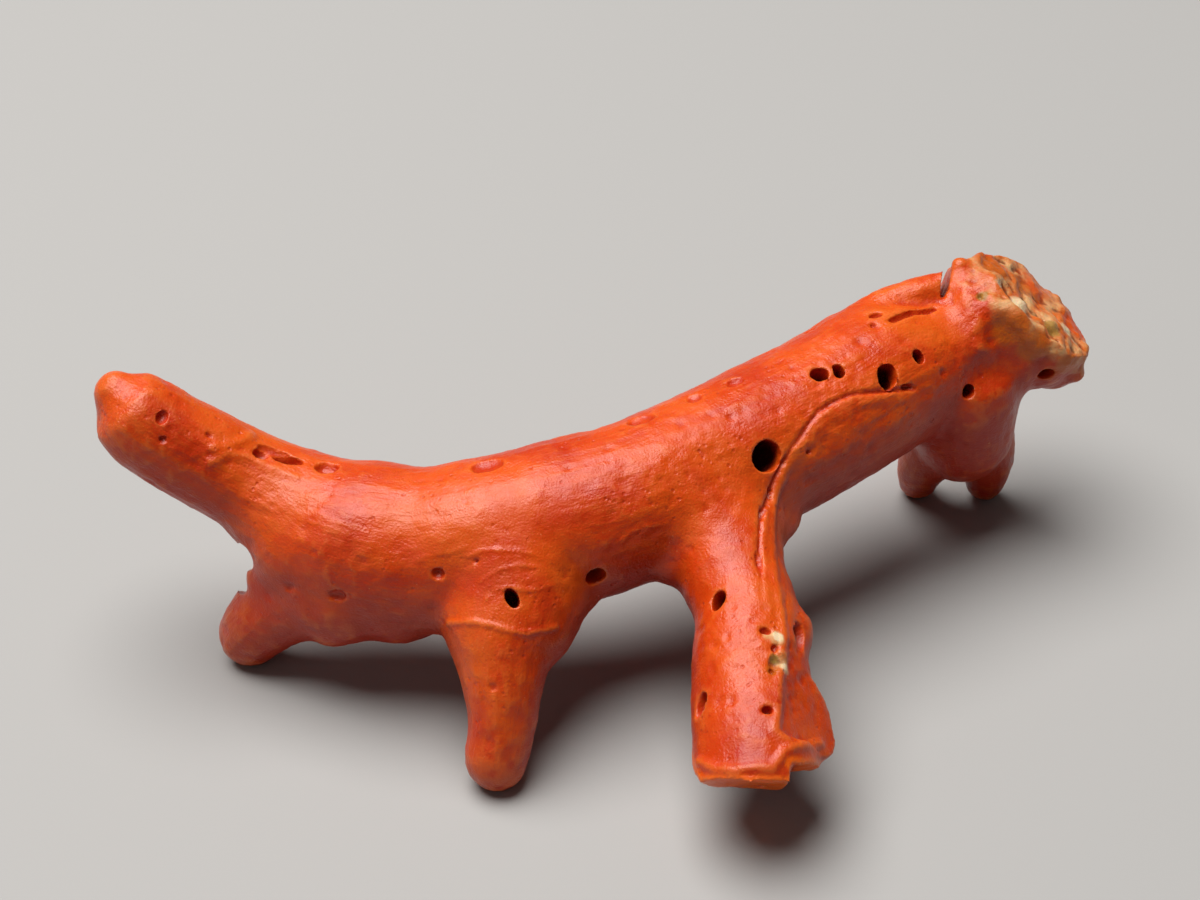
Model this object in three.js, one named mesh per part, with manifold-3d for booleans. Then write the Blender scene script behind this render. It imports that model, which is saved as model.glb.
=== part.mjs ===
// A broken branch of red coral, lying on the tips of its own stubs.
//
// Millimetres, +Z up. The thick stem runs along X and rises towards the broken end at +X.
// Its thin upturned tip is at -X. The two front stubs point towards -Y.
// The branch rests on the left stub, the middle stub and the two short prongs of the far stub.
// The right stub is broken off short and hangs clear of the ground.

import * as THREE from 'three';
import { mergeVertices } from 'three/addons/utils/BufferGeometryUtils.js';
import Module from 'manifold-3d';

const wasm = await Module();
wasm.setup();

// Driving dimensions.
const GAP = 0.3;
const SIDES = 21;
const STUB_SIDES = 15;
const RINGS_PER_STATION = 2;
const CAP_RINGS = 4;
const BALL_SIDES = 10;
const BALL_RINGS = 7;
const BLUNT = 0.5;
const SWELLING = 0.022;
const BREAK_DEPTH = 8;
const GROUND_HALF = 40;
const GROUND_DEPTH = 10;
const MIDDLE_X = 0.36;
const MIDDLE_Y = -1.28;

// Each station along a limb is [x, y, z, radius].
const STEM = [
  [-22.9, 0.5, 14.05, 2.3],
  [-22.2, 0.3, 13.1, 2.4],
  [-21.0, 0.1, 12.2, 2.5],
  [-19.4, 0.0, 11.1, 2.5],
  [-17.5, -0.2, 9.9, 2.65],
  [-14.7, -1.2, 8.4, 3.5],
  [-12.2, -2.2, 7.87, 4.1],
  [-8.9, -2.7, 7.5, 4.25],
  [-5.4, -2.9, 8.3, 4.2],
  [-2.0, -2.2, 8.8, 4.2],
  [1.5, -1.1, 9.2, 4.1],
  [5.0, 0.8, 9.6, 4.1],
  [8.6, 3.0, 10.0, 4.1],
  [11.8, 5.2, 10.4, 4.1],
  [14.7, 7.4, 10.8, 4.0],
  [17.2, 8.7, 10.75, 3.4],
  [18.5, 9.4, 11.0, 3.4],
  [19.9, 10.3, 11.4, 3.8],
  [21.7, 10.9, 11.6, 3.7],
  [22.7, 10.5, 11.5, 3.1],
];
const LEFT_STUB = [
  [-13.7, -2.7, 5.6, 3.3],
  [-15.6, -2.5, 4.2, 2.4],
  [-16.9, -2.5, 3.0, 2.0],
  [-17.8, -2.2, 1.6, 1.7],
];
const MIDDLE_STUB = [
  [-4.2, -4.6, 7.2, 4.2],
  [-4.6, -7.3, 5.9, 3.2],
  [-4.7, -8.4, 5.2, 2.4],
  [-4.7, -9.4, 4.3, 2.0],
  [-4.7, -10.3, 3.1, 1.7],
  [-5.05, -11.2, 1.45, 1.6],
];
const RIGHT_STUB = [
  [5.2, -0.4, 8.9, 3.6],
  [6.1, -3.4, 8.1, 3.0],
  [6.6, -5.3, 7.5, 2.6],
  [7.1, -7.0, 7.0, 2.6],
  [7.2, -9.2, 6.1, 2.85],
  [7.25, -11.7, 5.2, 2.9],
  [7.3, -13.6, 4.4, 3.0],
  [7.3, -15.5, 3.6, 3.0],
];
const FAR_STUB = [
  [18.7, 8.5, 9.4, 3.4],
  [19.2, 8.7, 6.6, 2.9],
  [19.4, 9.6, 4.9, 2.35],
];
const LEFT_PRONG = [
  [18.0, 10.1, 4.2, 1.8],
  [17.5, 10.6, 2.5, 1.45],
  [17.4, 11.1, 1.0, 1.1],
];
const RIGHT_PRONG = [
  [20.5, 10.4, 4.4, 1.9],
  [21.0, 10.6, 2.6, 1.5],
  [21.1, 10.9, 1.0, 1.1],
];
const LEDGE = [
  [10.9, 6.4, 13.1, 0.7],
  [12.9, 8.3, 13.4, 0.9],
  [15.0, 9.5, 13.8, 1.0],
  [17.0, 10.2, 14.2, 0.9],
];

// Knobs on the broken end and the right stub, and the swollen crotches: [x, y, z, radius].
const KNOBS = [
  [-23.6, 0.8, 14.6, 1.15],
  [23.8, 10.4, 9.9, 1.8],
  [19.0, 11.1, 14.4, 1.0],
  [20.2, 11.6, 14.6, 1.0],
  [9.0, -8.0, 6.7, 1.4],
  [9.0, -12.3, 5.0, 2.1],
  [9.8, -11.7, 6.0, 0.8],
  [10.4, -13.2, 5.0, 0.9],
  [-1.5, -4.8, 7.1, 1.7],
  [3.5, -3.4, 8.0, 1.7],
  [-13.2, -4.0, 4.8, 2.05],
  [-12.4, -3.0, 6.3, 3.4],
  [-10.0, -3.1, 6.3, 3.4],
  [-16.8, -3.0, 6.0, 0.95],
  [-15.0, -2.7, 7.9, 2.7],
  [24.9, 9.2, 9.6, 0.6],
  [18.45, 11.1, 15.05, 0.55],
];

// Places where the branch has broken away: a point on the break, the way it faces,
// and half the size of the piece that is gone across and along it.
const BREAKS = [
  { at: [23.0, 10.8, 12.5], way: [0.64, 0.07, 0.765], half: [7, 7] },
  { at: [7.1, -14.8, 3.5], way: [0, -0.74, -0.67], half: [7, 7] },
  { at: [10.3, -14.3, 4.4], way: [0, -0.74, -0.67], half: [1.5, 4] },
  { at: [9.38, -12.24, 6.65], way: [0.72, -0.26, 0.64], half: [2.8, 2.8] },
];

// Bites out of the outline, then pits in the broken face: [x, y, z, radius].
const BITES = [
  [-18.1, -2.4, 5.0, 0.55],
  [17.8, 10.4, 14.7, 0.5],
  [22.4, 9.6, 13.5, 0.8],
  [24.0, 10.4, 12.1, 1.0],
  [22.0, 11.8, 13.9, 0.8],
  [23.8, 12.4, 12.1, 0.8],
];

// Holes bored by sponges and worms, then shallow hollows worn on the surface. Each is
// [limb, station, degrees round the limb, width, length along the limb, depth].
const BORINGS = [
  ['stem', 11.5, 54, 1.6, 1.6, 3.0],
  ['stem', 13.4, 42, 1.2, 1.2, 3.0],
  ['stem', 12.8, 24, 0.8, 0.7, 1.8],
  ['stem', 12.6, 18, 0.7, 1.0, 1.4],
  ['stem', 14.0, 42, 0.7, 0.7, 2.0],
  ['stem', 14.8, 87, 0.7, 0.7, 1.8],
  ['stem', 8.1, 93, 0.9, 0.6, 1.6],
  ['stem', 9.2, 96, 1.0, 1.1, 1.2],
  ['rightStub', 3.1, 123, 0.7, 1.1, 1.6],
  ['rightStub', 4.6, 72, 1.0, 1.0, 0.7],
  ['rightStub', 5.1, 153, 0.8, 1.3, 0.9],
  ['stem', 1.0, 36, 0.7, 0.6, 1.0],
  ['stem', 6.1, 75, 0.8, 1.0, 0.4],
  ['stem', 8.2, -18, 0.9, 1.8, 0.35],
  ['stem', 10.4, -15, 0.7, 1.6, 0.3],
  ['stem', 5.0, -18, 1.0, 1.4, 0.5],
  ['stem', 4.3, -9, 0.7, 2.2, 0.5],
];

// Each limb is one capsule bent along a smooth curve through its stations.
function bentLimb(stations, reference, sides, startCap = 1) {
  const centres = stations.map(([x, y, z]) => new THREE.Vector3(x, y, z));
  const radii = stations.map(([, , , radius]) => new THREE.Vector3(radius, 0, 0));
  return {
    path: new THREE.CatmullRomCurve3(centres, false, 'catmullrom', 0.5),
    girth: new THREE.CatmullRomCurve3(radii, false, 'catmullrom', 0.5),
    count: stations.length - 1,
    reference,
    sides,
    startCap,
  };
}

// The centre, radius and axes of a limb at a station. Axis `a` leans to the reference side.
function sectionAt(limb, station) {
  const t = station / limb.count;
  const along = limb.path.getTangent(t);
  const b = new THREE.Vector3().crossVectors(along, limb.reference).normalize();
  const a = new THREE.Vector3().crossVectors(b, along);
  return { centre: limb.path.getPoint(t), radius: limb.girth.getPoint(t).x, along, a, b };
}

// Low uneven swellings round and along a limb.
function swelling(angle, station) {
  const twoSided = Math.sin(2 * angle + 0.9 * station);
  const threeSided = Math.sin(3 * angle - 1.3 * station + 1);
  return SWELLING * (twoSided + 0.8 * threeSided);
}

function limbGeometry(limb) {
  const rings = limb.count * RINGS_PER_STATION;
  const geometry = new THREE.CapsuleGeometry(1, 1, CAP_RINGS, limb.sides, rings);
  const position = geometry.attributes.position;
  for (let i = 0; i < position.count; i += 1) {
    const y = position.getY(i);
    const inside = THREE.MathUtils.clamp(y, -0.5, 0.5);
    const station = (0.5 - inside) * limb.count;
    const { centre, radius, along, a, b } = sectionAt(limb, station);
    const angle = Math.atan2(position.getZ(i), position.getX(i));
    const girth = radius * (1 + swelling(angle, station));
    centre.addScaledVector(a, position.getX(i) * girth);
    centre.addScaledVector(b, position.getZ(i) * girth);
    const cap = y > 0 ? limb.startCap : 1;
    centre.addScaledVector(along, (inside - y) * radius * cap);
    position.setXYZ(i, centre.x, centre.y, centre.z);
  }
  return geometry;
}

function toSolid(geometry) {
  const bare = geometry.clone();
  bare.deleteAttribute('normal');
  bare.deleteAttribute('uv');
  const merged = mergeVertices(bare, 1e-5);
  const index = merged.index.array;
  const triVerts = [];
  for (let i = 0; i < index.length; i += 3) {
    const [p, q, r] = [index[i], index[i + 1], index[i + 2]];
    if (p !== q && q !== r && r !== p) {
      triVerts.push(p, q, r);
    }
  }
  const vertProperties = new Float32Array(merged.attributes.position.array);
  const mesh = new wasm.Mesh({ numProp: 3, vertProperties, triVerts: new Uint32Array(triVerts) });
  return new wasm.Manifold(mesh);
}

function toMesh(solid, name, material) {
  const { vertProperties, triVerts } = solid.getMesh();
  const geometry = new THREE.BufferGeometry();
  geometry.setAttribute('position', new THREE.BufferAttribute(new Float32Array(vertProperties), 3));
  geometry.setIndex(new THREE.BufferAttribute(new Uint32Array(triVerts), 1));
  geometry.computeVertexNormals();
  const mesh = new THREE.Mesh(geometry, material);
  mesh.name = name;
  return mesh;
}

const UP = new THREE.Vector3(0, 0, 1);
const RIGHT = new THREE.Vector3(1, 0, 0);
const FRONT = new THREE.Vector3(0, -1, 0);

const limbs = {
  stem: bentLimb(STEM, UP, SIDES, BLUNT),
  leftStub: bentLimb(LEFT_STUB, FRONT, STUB_SIDES),
  middleStub: bentLimb(MIDDLE_STUB, RIGHT, STUB_SIDES),
  rightStub: bentLimb(RIGHT_STUB, RIGHT, SIDES),
  farStub: bentLimb(FAR_STUB, RIGHT, STUB_SIDES),
  leftProng: bentLimb(LEFT_PRONG, RIGHT, STUB_SIDES),
  rightProng: bentLimb(RIGHT_PRONG, RIGHT, STUB_SIDES),
  ledge: bentLimb(LEDGE, UP, STUB_SIDES),
};

function ball([x, y, z, radius]) {
  const geometry = new THREE.SphereGeometry(radius, BALL_SIDES, BALL_RINGS);
  geometry.translate(x, y, z);
  return toSolid(geometry);
}

// An egg-shaped hole sunk square into the surface of a limb.
function boring([limbName, station, degrees, width, length, depth]) {
  const { centre, radius, along, a, b } = sectionAt(limbs[limbName], station);
  const angle = THREE.MathUtils.degToRad(degrees);
  const out = a.multiplyScalar(Math.cos(angle)).addScaledVector(b, Math.sin(angle));
  const across = new THREE.Vector3().crossVectors(along, out);
  const geometry = new THREE.SphereGeometry(1, BALL_SIDES, BALL_RINGS);
  geometry.scale(width / 2, length / 2, depth);
  geometry.applyMatrix4(new THREE.Matrix4().makeBasis(across, along, out));
  centre.addScaledVector(out, radius);
  geometry.translate(centre.x, centre.y, centre.z);
  return toSolid(geometry);
}

// A block that starts on a plane and takes in everything beyond it.
function blockBeyond(at, way, [halfX, halfY], length) {
  const block = new THREE.BoxGeometry(2 * halfX, 2 * halfY, length);
  block.translate(0, 0, length / 2);
  const direction = new THREE.Vector3(...way).normalize();
  block.applyQuaternion(new THREE.Quaternion().setFromUnitVectors(UP, direction));
  block.translate(...at);
  return toSolid(block);
}

let branch = toSolid(limbGeometry(limbs.stem));
for (const name of Object.keys(limbs).slice(1)) {
  branch = branch.add(toSolid(limbGeometry(limbs[name])));
}
for (const knob of KNOBS) {
  branch = branch.add(ball(knob));
}
for (const { at, way, half } of BREAKS) {
  branch = branch.subtract(blockBeyond(at, way, half, BREAK_DEPTH));
}
for (const bite of BITES) {
  branch = branch.subtract(ball(bite));
}
for (const hole of BORINGS) {
  branch = branch.subtract(boring(hole));
}
// The feet are worn level where they touch the ground.
const ground = blockBeyond([0, 0, 0], [0, 0, -1], [GROUND_HALF, GROUND_HALF], GROUND_DEPTH);
branch = branch.subtract(ground);

// The forks where the branch is divided: a point on the plane, the way the limb goes from it,
// and the half width and length of the block that holds the limb.
const FORKS = [
  { name: 'upturned_tip', at: [-16.9, -0.7, 9.5], way: [-0.81, 0.32, 0.49], half: 6, length: 12 },
  { name: 'left_stub', at: [-15.3, -2.6, 4.6], way: [-0.72, 0, -0.69], half: 3.8, length: 9 },
  { name: 'middle_stub', at: [-4.6, -7.3, 5.9], way: [0, -0.85, -0.53], half: 3.9, length: 12 },
  { name: 'right_stub', at: [6.7, -4.8, 7.6], way: [0.1, -0.96, -0.26], half: 4.4, length: 14 },
  { name: 'far_stub', at: [19.0, 9.2, 6.2], way: [0.1, 0.25, -0.96], half: 6, length: 9 },
  { name: 'broken_end', at: [19.8, 9.8, 11.4], way: [0.9, 0.3, 0.31], half: 5.2, length: 12 },
];

const RED = 0xb5341a;
const part = new THREE.Group();
function place(solid, name) {
  const mesh = toMesh(solid, name, new THREE.MeshStandardMaterial({ color: RED, roughness: 0.32 }));
  mesh.geometry.translate(-MIDDLE_X, -MIDDLE_Y, 0);
  part.add(mesh);
}
for (const { name, at, way, half, length } of FORKS) {
  place(branch.intersect(blockBeyond(at, way, [half, half], length)), name);
  const direction = new THREE.Vector3(...way).normalize();
  const back = new THREE.Vector3(...at).addScaledVector(direction, -GAP).toArray();
  branch = branch.subtract(blockBeyond(back, way, [half, half], length + GAP));
}
place(branch, 'main_stem');

export default part;
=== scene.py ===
# %% [markdown]
# # A broken branch of red coral
#
# The object is a loose branch of precious coral about 50 mm long. A thick stem bends from
# a thin upturned tip on the left to a knobbly broken end on the right, and the branch lies
# on the tips of its own stubs. The coral is hard, dense and worn to a waxy polish, with
# holes bored by sponges and worms, fine lines of growth along the stem, and a pale porous
# crust on the break. It is all one piece, so it is modelled as one skin: limbs are grown
# ring by ring, melted together, broken and bored, and only then dressed with its finish.

# %% Load the measured frame
import math
import bpy
import numpy as np
from mathutils import Matrix, Vector, kdtree, noise


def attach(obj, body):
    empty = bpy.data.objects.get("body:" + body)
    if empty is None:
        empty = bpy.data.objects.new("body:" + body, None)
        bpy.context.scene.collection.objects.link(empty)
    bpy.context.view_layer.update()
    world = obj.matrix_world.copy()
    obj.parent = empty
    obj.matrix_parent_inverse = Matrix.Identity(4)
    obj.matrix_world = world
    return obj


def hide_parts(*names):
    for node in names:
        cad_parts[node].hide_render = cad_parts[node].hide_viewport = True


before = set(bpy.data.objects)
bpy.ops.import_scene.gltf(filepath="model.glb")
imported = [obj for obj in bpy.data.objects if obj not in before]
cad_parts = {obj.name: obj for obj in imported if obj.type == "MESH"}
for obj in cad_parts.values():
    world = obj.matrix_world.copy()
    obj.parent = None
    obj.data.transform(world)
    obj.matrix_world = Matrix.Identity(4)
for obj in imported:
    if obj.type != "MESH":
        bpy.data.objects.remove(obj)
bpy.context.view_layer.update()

NODES = list(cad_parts)
print("nodes to dress:", NODES)

# %% [markdown]
# ## Units
#
# Some of Blender's tools stop at a tenth of a millimetre when the unit is the metre, and
# the lines on this coral are finer than that. So the branch is modelled with one Blender
# unit to the millimetre, and only its finished mesh is brought down to metres. The middle
# of the branch's box is put over the origin in the same step.

# %% Units and small helpers
MM = 0.001
MIDDLE = Vector((0.36, -1.28, 0))


def in_frame(point_mm):
    """A point given in the modelling millimetres, as metres in the shared frame."""
    return (Vector(point_mm) - MIDDLE) * MM


def only(piece):
    """Select one object and nothing else."""
    if bpy.context.object and bpy.context.object.mode != "OBJECT":
        bpy.ops.object.mode_set(mode="OBJECT")
    bpy.ops.object.select_all(action="DESELECT")
    bpy.context.view_layer.objects.active = piece
    piece.select_set(True)


def apply_modifier(piece, kind, **settings):
    """Add one modifier, set it up and apply it."""
    only(piece)
    bpy.ops.object.modifier_add(type=kind)
    modifier = piece.modifiers[-1]
    for name, value in settings.items():
        setattr(modifier, name, value)
    bpy.ops.object.modifier_apply(modifier=modifier.name)


# %% [markdown]
# ## Camera
#
# The branch is seen from in front and a good way above, 38 degrees over the ground, with a
# long lens close by, as a small thing on a table is photographed. The camera is set by the
# point on the ground that it looks at, so its height and distance can be read off at once.

# %% Set the camera
VIEW_ELEVATION = 38
VIEW_DISTANCE = 159
LOOK_AT = (0, 15, 0)
LENS = 85
FILM_WIDTH = 36
NEAREST_SEEN = 0.01

slope = math.radians(VIEW_ELEVATION)
away = Vector((0, -math.cos(slope), math.sin(slope)))
bpy.ops.object.camera_add(
    location=in_frame(Vector(LOOK_AT) + VIEW_DISTANCE * away),
    rotation=(math.radians(90 - VIEW_ELEVATION), 0, 0),
)
camera = bpy.context.object
camera.name = "view_camera"
camera.data.lens = LENS
camera.data.sensor_width = FILM_WIDTH
camera.data.clip_start = NEAREST_SEEN
bpy.context.scene.camera = camera
print("camera stands at", [round(v, 3) for v in camera.location])

# %% [markdown]
# ## Limbs
#
# Coral grows by thickening, so each limb is a round bar whose girth changes slowly. A limb
# could be a bevelled curve or a skin modifier, but a disc that is extruded ring by ring
# gives exact control of the girth at every station, and it is how one would pull the limb
# out by hand. The stations are the middle of the limb and its radius, in millimetres, and
# a smooth curve is run through them so that a few stations make an even bend.

# %% Stations of the limbs
STEM = [
    (-23.15, 0.4, 14.0, 2.15), (-22.3, 0.3, 13.2, 2.4), (-21.0, 0.1, 12.2, 2.45),
    (-19.4, 0.0, 11.1, 2.5), (-17.5, -0.2, 9.9, 2.65), (-14.7, -1.2, 8.4, 3.5),
    (-12.2, -2.2, 7.87, 4.1), (-8.9, -2.7, 7.5, 4.25), (-5.4, -2.9, 8.3, 4.2),
    (-2.0, -2.2, 8.8, 4.2), (1.5, -1.1, 9.2, 4.1), (5.0, 0.8, 9.6, 4.1),
    (8.6, 3.0, 10.0, 4.1), (11.8, 5.2, 10.4, 4.1), (14.7, 7.4, 10.8, 4.0),
    (17.2, 8.7, 10.75, 3.4), (18.5, 9.4, 11.0, 3.4), (19.9, 10.3, 11.4, 3.8),
    (21.7, 10.9, 11.6, 3.7), (22.7, 10.5, 11.5, 3.1),
]
LEFT_STUB = [
    (-13.7, -2.7, 5.6, 3.3), (-15.6, -2.5, 4.2, 2.4), (-16.9, -2.5, 3.0, 2.0),
    (-17.8, -2.2, 1.6, 1.7),
]
MIDDLE_STUB = [
    (-4.2, -4.6, 7.2, 4.2), (-4.6, -7.3, 5.9, 3.2), (-4.7, -8.4, 5.2, 2.4),
    (-4.7, -9.4, 4.3, 2.0), (-4.7, -10.3, 3.1, 1.7), (-5.05, -11.2, 1.45, 1.6),
]
RIGHT_STUB = [
    (5.2, -0.4, 8.9, 3.6), (6.1, -3.4, 8.1, 3.0), (6.6, -5.3, 7.5, 2.6),
    (7.1, -7.0, 7.0, 2.6), (7.2, -9.2, 6.1, 2.85), (7.25, -11.7, 5.2, 2.9),
    (7.3, -13.6, 4.4, 3.0), (7.3, -15.5, 3.6, 3.0),
]
FAR_STUB = [(18.7, 8.5, 9.4, 3.4), (19.2, 8.7, 6.6, 2.9), (19.4, 9.6, 4.9, 2.35)]
LEFT_PRONG = [(18.0, 10.1, 4.2, 1.8), (17.5, 10.6, 2.5, 1.45), (17.4, 11.1, 1.0, 1.1)]
RIGHT_PRONG = [(20.5, 10.4, 4.4, 1.9), (21.0, 10.6, 2.6, 1.5), (21.1, 10.9, 1.0, 1.1)]
LEDGE = [
    (10.9, 6.4, 13.1, 0.7), (12.9, 8.3, 13.4, 0.9), (15.0, 9.5, 13.8, 1.0),
    (17.6, 10.4, 14.45, 0.8),
]


def smooth_station(stations, place):
    """Middle and radius of a limb at a place between stations, on a smooth curve."""
    last = len(stations) - 1
    index = min(int(place), last - 1)
    w = place - index
    rows = [Vector(s) for s in stations]
    here, there = rows[index], rows[index + 1]
    before = rows[index - 1] if index > 0 else 2 * here - there
    after = rows[index + 2] if index + 2 <= last else 2 * there - here
    return 0.5 * (
        2 * here + (there - before) * w
        + (2 * before - 5 * here + 4 * there - after) * w ** 2
        + (3 * here - before - 3 * there + after) * w ** 3
    )


# %% Grow a limb ring by ring
RING_SIDES = 32
RINGS_PER_STATION = 3
# How far out each ring of a dome is and how wide, as shares of the limb's radius.
DOME = [(0.35, 0.94), (0.65, 0.76), (0.85, 0.53), (0.97, 0.24)]
STEM_BLUNTNESS = 0.45


def limb_rings(stations, blunt):
    """Rings from end to end, with a dome at both ends, the first one flattened by blunt."""
    count = (len(stations) - 1) * RINGS_PER_STATION
    body = [smooth_station(stations, i / RINGS_PER_STATION) for i in range(count + 1)]
    rows = [(row.to_3d(), row.w) for row in body]
    for end in (0, -1):
        middle, radius = rows[end]
        inner = rows[1][0] if end == 0 else rows[-2][0]
        out = (middle - inner).normalized() * radius * (blunt if end == 0 else 1.0)
        dome = [(middle + out * rise, radius * width) for rise, width in DOME]
        rows = dome[::-1] + rows if end == 0 else rows + dome
    return rows


def grow_limb(name, stations, blunt=1.0):
    """A disc at one end, extruded, turned and resized from ring to ring."""
    rows = limb_rings(stations, blunt)
    heading = (rows[1][0] - rows[0][0]).normalized()
    bpy.ops.object.select_all(action="DESELECT")
    bpy.ops.mesh.primitive_circle_add(
        vertices=RING_SIDES, radius=rows[0][1], fill_type="NGON", location=rows[0][0],
        rotation=heading.to_track_quat("Z", "Y").to_euler(),
    )
    limb = bpy.context.object
    limb.name = name
    bpy.ops.object.transform_apply(location=True, rotation=True, scale=True)
    bpy.ops.object.mode_set(mode="EDIT")
    bpy.ops.mesh.select_all(action="SELECT")
    for (start, girth), (end, next_girth) in zip(rows, rows[1:]):
        way = (end - start).normalized()
        bpy.ops.mesh.extrude_region_move(TRANSFORM_OT_translate={"value": end - start})
        for axis, angle in zip("XYZ", heading.rotation_difference(way).to_euler("XYZ")):
            bpy.ops.transform.rotate(value=-angle, orient_axis=axis, center_override=end)
        grow = next_girth / girth
        bpy.ops.transform.resize(value=(grow, grow, grow), center_override=end)
        heading = way
    bpy.ops.mesh.select_all(action="SELECT")
    bpy.ops.mesh.normals_make_consistent(inside=False)
    bpy.ops.object.mode_set(mode="OBJECT")
    return limb


limbs = [
    grow_limb("stem", STEM, blunt=STEM_BLUNTNESS),
    grow_limb("left_stub_limb", LEFT_STUB),
    grow_limb("middle_stub_limb", MIDDLE_STUB),
    grow_limb("right_stub_limb", RIGHT_STUB),
    grow_limb("far_stub_limb", FAR_STUB),
    grow_limb("left_prong_limb", LEFT_PRONG),
    grow_limb("right_prong_limb", RIGHT_PRONG),
    grow_limb("ledge_limb", LEDGE),
]
print("limbs grown:", [limb.name for limb in limbs])

# %% [markdown]
# ## Knobs and swellings
#
# Old coral carries knobs where small side branches died and were grown over, and it swells
# where a stub leaves the stem. They are balls half sunk in the limbs. On their own they
# would look stuck on, but the melting of the next step turns them into soft lumps.

# %% Add the knobs
# Each is x, y, z and the radius of its ball.
KNOBS = [
    (-23.6, 0.7, 14.6, 1.25),
    (-23.5, 0.6, 13.4, 1.35),
    (23.8, 10.4, 9.9, 1.8),
    (19.0, 11.1, 14.4, 1.0),
    (20.2, 11.6, 14.6, 1.0),
    (9.0, -8.0, 6.7, 1.4),
    (9.0, -12.3, 5.0, 2.1),
    (10.0, -11.4, 5.9, 0.7),
    (10.4, -13.2, 4.6, 0.95),
    (-1.5, -4.8, 7.1, 1.7),
    (3.5, -3.4, 8.0, 1.7),
    (-13.2, -4.0, 4.85, 1.95),
    (-12.4, -3.0, 6.15, 3.4),
    (-10.0, -3.1, 6.15, 3.4),
    (-16.8, -3.0, 6.0, 0.95),
    (-14.9, -2.7, 7.9, 2.55),
    (24.9, 9.2, 9.6, 0.6),
    (18.6, 11.1, 15.05, 0.55),
    (9.3, -1.4, 8.1, 1.0),
]
for x, y, z, radius in KNOBS:
    bpy.ops.object.select_all(action="DESELECT")
    bpy.ops.mesh.primitive_ico_sphere_add(subdivisions=3, radius=radius, location=(x, y, z))
    bpy.ops.object.transform_apply(location=True, rotation=True, scale=True)
    limbs.append(bpy.context.object)
print("knobs added:", len(KNOBS))

# %% [markdown]
# ## One skin
#
# The limbs are joined and remeshed with voxels, which throws away what lies inside and
# leaves one closed skin with a hard crease at each fork. A living fork is filled in softly,
# so the creases are smoothed, most of all close to the forks, and the skin is subdivided.

# %% Melt the limbs into one skin
FIRST_VOXEL = 0.3

only(limbs[0])
for limb in limbs:
    limb.select_set(True)
bpy.ops.object.join()
coral = bpy.context.object
coral.name = "coral_branch"
coral.data.remesh_voxel_size = FIRST_VOXEL
bpy.ops.object.voxel_remesh()
print("skin:", len(coral.data.polygons), "faces")

# %% Fill in the forks
FORK_SMOOTHING = 90
SKIN_SMOOTHING = 6
WEIGHT_STEPS = 40
# Each is the middle of a fork and how far its filling reaches.
FORKS = [
    ((-14.6, -2.4, 6.4), 3.6),
    ((-15.6, -3.4, 9.0), 3.4),
    ((-13.6, -2.8, 11.4), 4.2),
    ((-23.0, 0.4, 14.2), 1.9),
    ((-4.4, -7.4, 9.6), 3.4),
    ((5.6, -3.2, 11.4), 3.4),
    ((8.6, -1.6, 8.8), 3.2),
    ((-4.4, -5.8, 6.4), 4.2),
    ((6.2, -3.4, 8.0), 3.8),
    ((18.9, 8.8, 7.6), 4.0),
    ((19.3, 10.3, 3.6), 1.6),
]


def closeness(points, centre, reach):
    """One at a centre, falling softly to nothing at the reach."""
    distance = np.linalg.norm(points - np.array(centre), axis=1)
    return np.clip(1 - (distance / reach) ** 2, 0, 1) ** 1.5


def point_tree(points):
    """A tree that finds the nearest of many points quickly."""
    tree = kdtree.KDTree(len(points))
    for index, point in enumerate(points):
        tree.insert(point, index)
    tree.balance()
    return tree


def gaps_to(tree, points):
    """The distance from each point to the nearest one in a tree."""
    return np.array([tree.find(point)[2] for point in points])


def read_vertices(piece, field):
    """One row of three numbers for each vertex of a piece."""
    values = np.empty(3 * len(piece.data.vertices))
    piece.data.vertices.foreach_get(field, values)
    return values.reshape(-1, 3)


def skin_points(piece):
    """Where each vertex of a piece is."""
    return read_vertices(piece, "co")


def weigh(piece, name, weights):
    """Keep one weight for each vertex, in steps fine enough for a smooth fall."""
    group = piece.vertex_groups.new(name=name)
    steps = np.round(weights * WEIGHT_STEPS).astype(int)
    for step in range(1, WEIGHT_STEPS + 1):
        chosen = np.flatnonzero(steps == step).tolist()
        if chosen:
            group.add(chosen, step / WEIGHT_STEPS, "REPLACE")


points = skin_points(coral)
fork_weight = np.zeros(len(points))
for centre, reach in FORKS:
    fork_weight = np.maximum(fork_weight, closeness(points, centre, reach))
weigh(coral, "forks", fork_weight)
apply_modifier(coral, "SMOOTH", factor=0.6, iterations=FORK_SMOOTHING, vertex_group="forks")
apply_modifier(coral, "SMOOTH", factor=0.5, iterations=SKIN_SMOOTHING)
apply_modifier(coral, "SUBSURF", levels=1, render_levels=1)
print("fork vertices softened:", int((fork_weight > 0).sum()))

# %% [markdown]
# ## The breaks
#
# The head at the right was snapped off the rest of the colony, and so was the thick front
# stub. A plain cut would leave a flat saw mark, so each cutter is a sheet with a torn
# surface, made from a fine grid that two cloud textures push up and down, and given depth.
# What it takes away leaves a rough break that still faces the right way. Smaller sheets take
# a corner, a step and a facet off the stub, whose broken edges are then worn soft.

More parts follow.
